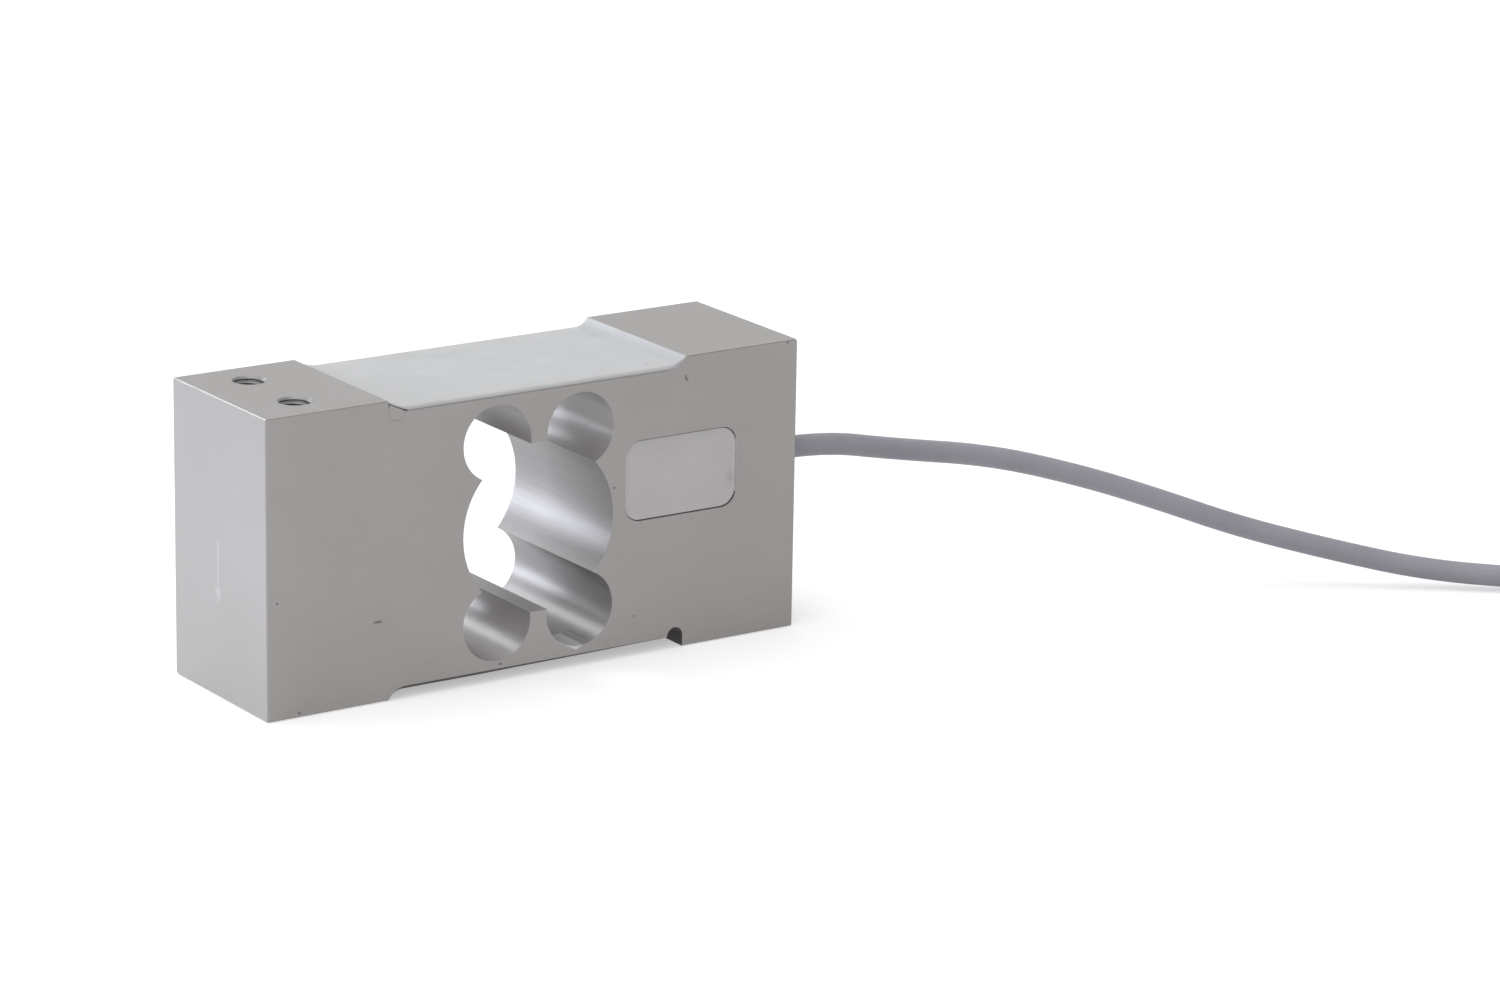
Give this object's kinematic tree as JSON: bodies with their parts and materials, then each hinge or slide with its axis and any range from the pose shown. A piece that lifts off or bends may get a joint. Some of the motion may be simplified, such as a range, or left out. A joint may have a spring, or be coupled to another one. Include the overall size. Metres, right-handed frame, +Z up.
{
  "type": "single point load cell",
  "caption": "Rectangular aluminium bending beam with a lobed through cut-out, tapped mounting holes at each end, sealed gauge recesses, a potted side pocket and a coiled signal cable.",
  "frame": {"origin": "centre of the beam's base", "axes": "+X from the load end to the cable end, +Z up out of the load end's mounting face, -Y towards the wiring pocket"},
  "size_m": [0.4362, 0.1614, 0.074],
  "materials": {
    "aluminium": "milled and tumbled, satin, with a faint lengthwise grain",
    "white_silicone": "soft silicone sealing compound, satin",
    "grey_potting": "potting compound, satin",
    "grey_filler": "filling compound, satin",
    "cable_jacket": "smooth grey cable jacket, satin",
    "clear_seal": "sealing compound, satin",
    "tie_plastic": "flat plastic-coated twist tie",
    "sleeve_plastic": "shrunk sleeve, satin",
    "board_laminate": "glass-fibre laminate with solder mask",
    "adhesive": "soft adhesive pad",
    "solder": "tin solder",
    "resistor_body": "coated resistor",
    "chip_ceramic": "chip resistor",
    "terminal_laminate": "thin laminate with copper pads",
    "copper_wire": "enamelled copper wire",
    "lead_insulation": "thin wire insulation",
    "red_insulation": "core insulation",
    "black_insulation": "core insulation",
    "green_insulation": "core insulation",
    "white_insulation": "core insulation",
    "drain_copper": "tinned copper strand",
    "shield_sleeving": "yellow sleeving over the screen's drain wire",
    "gauge_foil": "polyimide backing with a metal foil grid"
  },
  "bodies": {
    "root": {"beam_body": "aluminium", "board_adhesive": "adhesive", "board_solder_joints": "solder", "bottom_sealant": "white_silicone", "cable_coil": "cable_jacket", "cable_inner_end": "cable_jacket", "cable_run": "cable_jacket", "cable_seal": "clear_seal", "coil_ties": "tie_plastic", "core_black": "black_insulation", "core_green": "green_insulation", "core_red": "red_insulation", "core_white": "white_insulation", "end_sleeve": "sleeve_plastic", "gauge_bottom_cable_side": "gauge_foil", "gauge_bottom_load_side": "gauge_foil", "gauge_top_cable_side": "gauge_foil", "gauge_top_load_side": "gauge_foil", "groove_filler": "grey_filler", "jumper_wires_bottom": "copper_wire", "jumper_wires_top": "copper_wire", "lead_end_black": "black_insulation", "lead_end_green": "green_insulation", "lead_end_red": "red_insulation", "lead_end_shield": "shield_sleeving", "lead_end_white": "white_insulation", "lead_wires_bottom": "lead_insulation", "lead_wires_top": "lead_insulation", "pocket_potting": "grey_potting", "shield_drain": "drain_copper", "temperature_resistors": "resistor_body", "terminal_strip_bottom": "terminal_laminate", "terminal_strip_top": "terminal_laminate", "tinned_tips": "solder", "top_sealant": "white_silicone", "trim_resistors": "chip_ceramic", "wiring_board": "board_laminate"}
  },
  "joints": []
}
